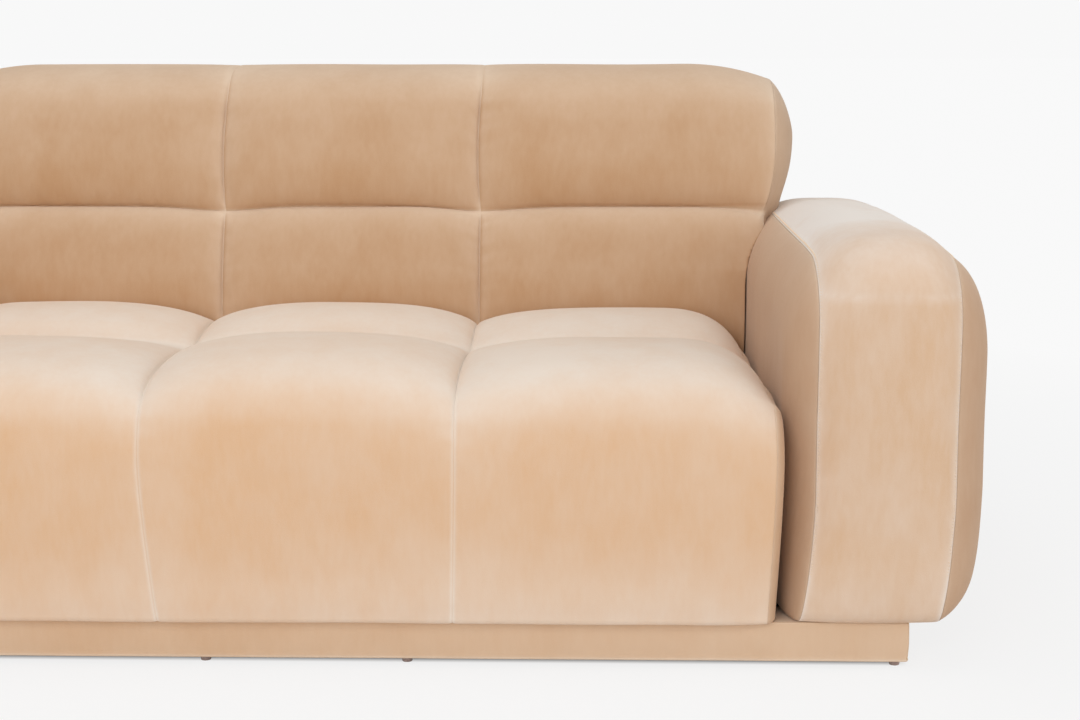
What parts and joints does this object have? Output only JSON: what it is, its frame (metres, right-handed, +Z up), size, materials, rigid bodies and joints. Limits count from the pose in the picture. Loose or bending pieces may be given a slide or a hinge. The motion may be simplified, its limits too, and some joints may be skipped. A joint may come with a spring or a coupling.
{
  "type": "lounge sofa",
  "caption": "Low lounge sofa in velvet with a grid-quilted seat and leaning back, padded box arms and a recessed plinth on glides, for sitting on.",
  "frame": {"origin": "centre of the overall box in X and Y, on the floor under the glides", "axes": "+X to the right as seen from the front, along the sofa's length; +Y to the rear, so the front faces -Y; +Z up"},
  "size_m": [1.899, 0.953, 0.808],
  "materials": {
    "velvet": "short cut pile with a sheen",
    "timber": "planed softwood",
    "board": "sawn board",
    "foam": "open-cell foam",
    "webbing": "woven elastic",
    "fastener_steel": "zinc plated",
    "glide_plastic": "moulded",
    "dust_cloth": "non-woven"
  },
  "bodies": {
    "root": {"floor_glides": "glide_plastic", "seat_screws": "fastener_steel", "arm_screws": "fastener_steel", "back_bolts": "fastener_steel", "plinth_front_rail": "timber", "plinth_rear_rail": "timber", "plinth_left_rail": "timber", "plinth_right_rail": "timber", "plinth_cross_rails": "timber", "plinth_corner_blocks": "timber", "plinth_cover": "velvet", "dust_cover": "dust_cloth", "seat_front_rail": "timber", "seat_rear_rail": "timber", "seat_left_rail": "timber", "seat_right_rail": "timber", "seat_stretchers": "timber", "seat_corner_blocks": "timber", "seat_webbing_lengthwise": "webbing", "seat_webbing_crosswise": "webbing", "seat_foam": "foam", "seat_side_pads": "foam", "seat_cover": "velvet", "seat_left_gusset": "velvet", "seat_right_gusset": "velvet", "back_left_end_post": "board", "back_left_middle_post": "board", "back_right_middle_post": "board", "back_right_end_post": "board", "back_top_rail": "timber", "back_lower_rails": "timber", "back_webbing_upright": "webbing", "back_webbing_level": "webbing", "back_foam": "foam", "back_rear_panel": "velvet", "back_cover": "velvet", "back_left_end": "velvet", "back_right_end": "velvet", "left_arm_inner_pad": "velvet", "left_arm_outer_pad": "velvet", "left_arm_band": "velvet", "left_arm_inner_board": "board", "left_arm_outer_board": "board", "left_arm_front_board": "board", "left_arm_rear_board": "board", "left_arm_top_board": "board", "left_arm_base_board": "board", "right_arm_inner_pad": "velvet", "right_arm_outer_pad": "velvet", "right_arm_band": "velvet", "right_arm_inner_board": "board", "right_arm_outer_board": "board", "right_arm_front_board": "board", "right_arm_rear_board": "board", "right_arm_top_board": "board", "right_arm_base_board": "board"}
  },
  "joints": []
}
